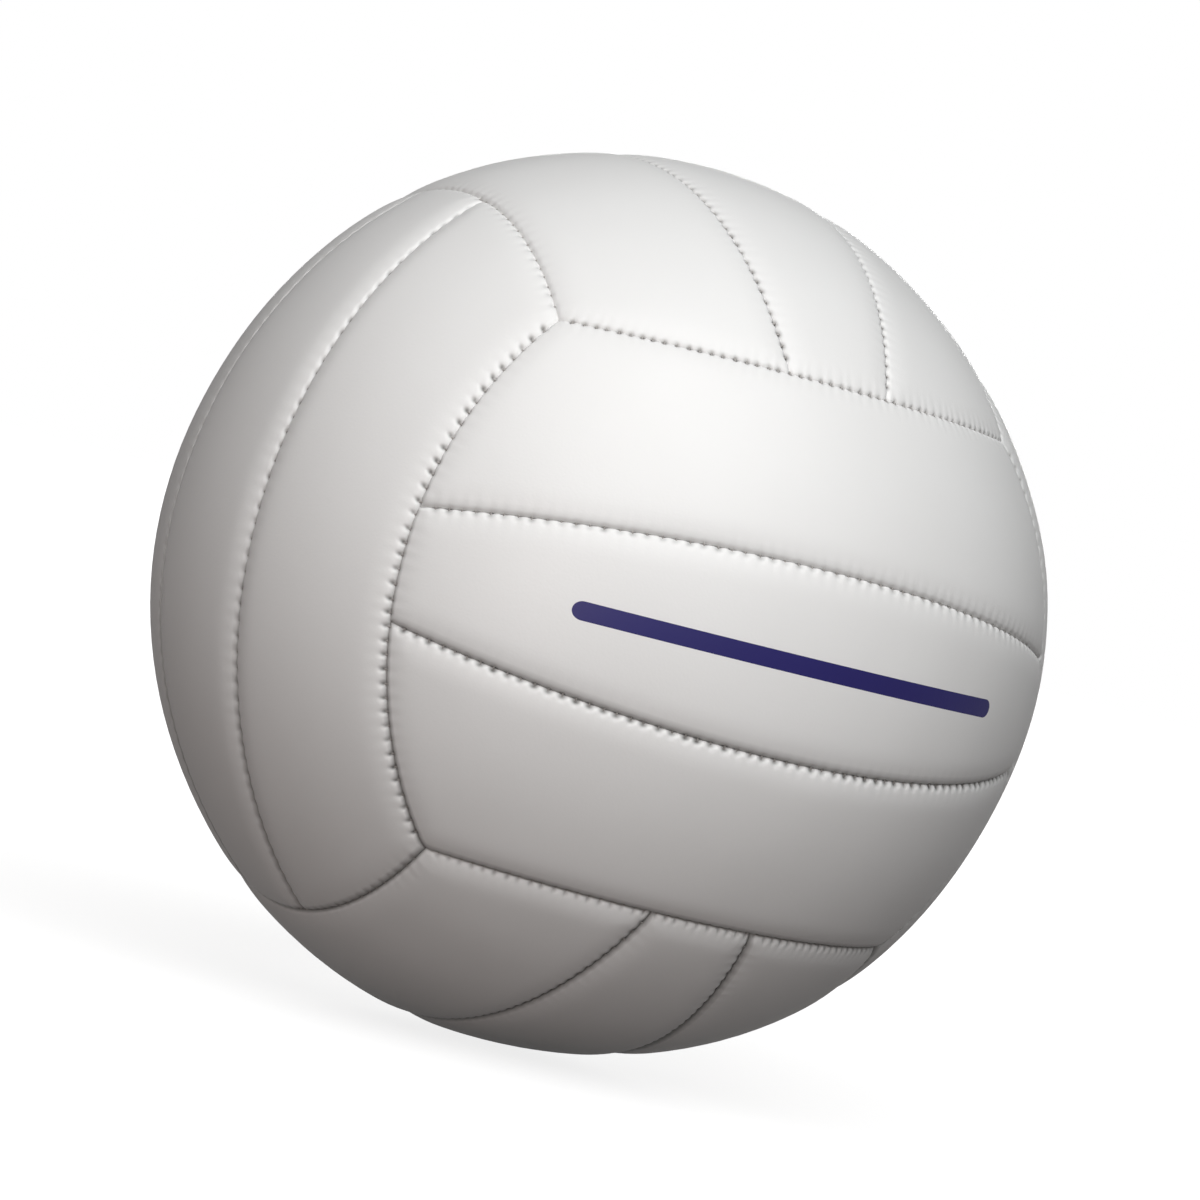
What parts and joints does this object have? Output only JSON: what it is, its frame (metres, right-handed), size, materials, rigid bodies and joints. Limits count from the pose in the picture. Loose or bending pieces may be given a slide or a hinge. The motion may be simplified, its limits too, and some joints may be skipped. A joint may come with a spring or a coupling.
{
  "type": "volleyball",
  "caption": "Stitched indoor ball: white strip panels with turned-in edges on foam backings, sewn over a rubber bladder with a needle valve.",
  "frame": {"origin": "the ball's centre", "axes": "+Z through the middle of the top panel group, -Y through the middle of the front panel group, whose strips run along X; the valve is at +Y"},
  "size_m": [0.21, 0.2099, 0.21],
  "materials": {
    "cover_skin": "satin",
    "backing_foam": "matte",
    "seam_thread": "matte",
    "bladder_rubber": "matte",
    "valve_rubber": "matte",
    "patch_cloth": "matte"
  },
  "bodies": {
    "root": {"back_left_seam_thread": "seam_thread", "back_lower_foam": "backing_foam", "back_lower_panel": "cover_skin", "back_middle_foam": "backing_foam", "back_middle_panel": "cover_skin", "back_right_seam_thread": "seam_thread", "back_strip_seam_threads": "seam_thread", "back_upper_foam": "backing_foam", "back_upper_panel": "cover_skin", "bladder": "bladder_rubber", "bottom_back_seam_thread": "seam_thread", "bottom_front_seam_thread": "seam_thread", "bottom_left_foam": "backing_foam", "bottom_left_panel": "cover_skin", "bottom_middle_foam": "backing_foam", "bottom_middle_panel": "cover_skin", "bottom_right_foam": "backing_foam", "bottom_right_panel": "cover_skin", "bottom_strip_seam_threads": "seam_thread", "front_left_seam_thread": "seam_thread", "front_lower_foam": "backing_foam", "front_lower_panel": "cover_skin", "front_middle_foam": "backing_foam", "front_middle_panel": "cover_skin", "front_right_seam_thread": "seam_thread", "front_strip_seam_threads": "seam_thread", "front_upper_foam": "backing_foam", "front_upper_panel": "cover_skin", "left_bottom_seam_thread": "seam_thread", "left_front_foam": "backing_foam", "left_front_panel": "cover_skin", "left_middle_foam": "backing_foam", "left_middle_panel": "cover_skin", "left_rear_foam": "backing_foam", "left_rear_panel": "cover_skin", "left_strip_seam_threads": "seam_thread", "left_top_seam_thread": "seam_thread", "right_bottom_seam_thread": "seam_thread", "right_front_foam": "backing_foam", "right_front_panel": "cover_skin", "right_middle_foam": "backing_foam", "right_middle_panel": "cover_skin", "right_rear_foam": "backing_foam", "right_rear_panel": "cover_skin", "right_strip_seam_threads": "seam_thread", "right_top_seam_thread": "seam_thread", "top_back_seam_thread": "seam_thread", "top_front_seam_thread": "seam_thread", "top_left_foam": "backing_foam", "top_left_panel": "cover_skin", "top_middle_foam": "backing_foam", "top_middle_panel": "cover_skin", "top_right_foam": "backing_foam", "top_right_panel": "cover_skin", "top_strip_seam_threads": "seam_thread", "valve_core": "valve_rubber", "valve_housing": "valve_rubber", "valve_patch": "patch_cloth"}
  },
  "joints": []
}
